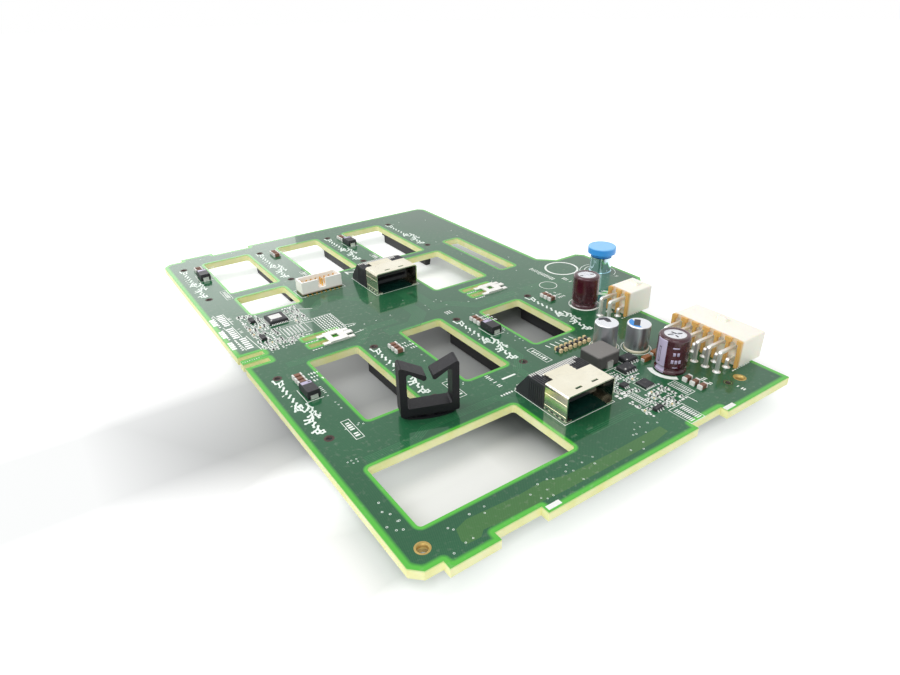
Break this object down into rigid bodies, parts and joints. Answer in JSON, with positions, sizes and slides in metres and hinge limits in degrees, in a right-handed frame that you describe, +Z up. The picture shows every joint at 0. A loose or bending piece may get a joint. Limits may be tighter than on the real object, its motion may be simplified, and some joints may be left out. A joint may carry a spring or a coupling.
{
  "type": "drive backplane board",
  "caption": "Flat circuit board with air windows, drive receptacles underneath, shielded cable ports, power headers and a spring-loaded release pin on a side tab.",
  "frame": {"origin": "axis of the plated mounting hole at the near left corner, on the underside of the laminate", "axes": "+X along the near edge towards the power headers, +Y along the board to the far edge, +Z up from the laminate towards the ports and capacitors"},
  "size_m": [0.1622, 0.2209, 0.0277],
  "materials": {
    "laminate_green": "glossy solder mask",
    "receptacle_black": "moulded",
    "contact_gold": "plated",
    "port_sheet": "plated sheet",
    "insulator_black": "moulded",
    "tinned_lead": "tinned",
    "nylon_white": "natural nylon",
    "header_white": "moulded",
    "pin_gold": "plated",
    "can_aluminium": "satin",
    "sleeve_maroon": "shrunk sleeve",
    "seat_cream": "moulded",
    "core_grey": "pressed powder",
    "moulded_black": "moulded",
    "ceramic_brown": "fired ceramic",
    "chip_black": "moulded",
    "barrel_bright": "bright plated",
    "cap_blue": "moulded",
    "spring_steel": "drawn wire",
    "clip_black": "moulded nylon",
    "clip_tinned": "solder coated"
  },
  "bodies": {
    "backplane": {"board": "laminate_green", "receptacle_1": "receptacle_black", "receptacle_1_contacts": "contact_gold", "receptacle_2": "receptacle_black", "receptacle_2_contacts": "contact_gold", "receptacle_3": "receptacle_black", "receptacle_3_contacts": "contact_gold", "receptacle_4": "receptacle_black", "receptacle_4_contacts": "contact_gold", "receptacle_5": "receptacle_black", "receptacle_5_contacts": "contact_gold", "receptacle_6": "receptacle_black", "receptacle_6_contacts": "contact_gold", "receptacle_7": "receptacle_black", "receptacle_7_contacts": "contact_gold", "receptacle_8": "receptacle_black", "receptacle_8_contacts": "contact_gold", "port_1_shell": "port_sheet", "port_1_insulator": "insulator_black", "port_1_leads": "tinned_lead", "port_2_shell": "port_sheet", "port_2_insulator": "insulator_black", "port_2_leads": "tinned_lead", "power_header_12_housing": "nylon_white", "power_header_12_pins": "tinned_lead", "power_header_4_housing": "nylon_white", "power_header_4_pins": "tinned_lead", "box_header_housing": "header_white", "box_header_pins": "pin_gold", "tall_cap_1_can": "can_aluminium", "tall_cap_1_sleeve": "sleeve_maroon", "can_cap_1_seat": "seat_cream", "can_cap_1_can": "can_aluminium", "tall_cap_2_can": "can_aluminium", "tall_cap_2_sleeve": "sleeve_maroon", "can_cap_2_seat": "seat_cream", "can_cap_2_can": "can_aluminium", "inductor_core": "core_grey", "inductor_terminals": "tinned_lead", "moulded_cap_1": "moulded_black", "moulded_cap_1_ends": "tinned_lead", "moulded_cap_2": "moulded_black", "moulded_cap_2_ends": "tinned_lead", "moulded_cap_3": "moulded_black", "moulded_cap_3_ends": "tinned_lead", "moulded_cap_4": "moulded_black", "moulded_cap_4_ends": "tinned_lead", "ceramic_caps": "ceramic_brown", "control_chip": "chip_black", "driver_chip_1": "chip_black", "driver_chip_2": "chip_black", "regulator_chip": "chip_black", "release_barrel": "barrel_bright", "release_spring": "spring_steel", "cable_clip": "clip_black", "slot_clip_1": "clip_tinned", "slot_clip_2": "clip_tinned"},
    "release_pin": {"release_shaft": "barrel_bright", "release_cap": "cap_blue"}
  },
  "joints": [
    {"name": "release_pull", "type": "slide", "parent": "backplane", "child": "release_pin", "axis": [0, 0, 1], "range_m": [0, 0.0035], "stiffness_N_per_m": 600, "springref_m": -0.003, "deforming": ["release_spring"]}
  ]
}
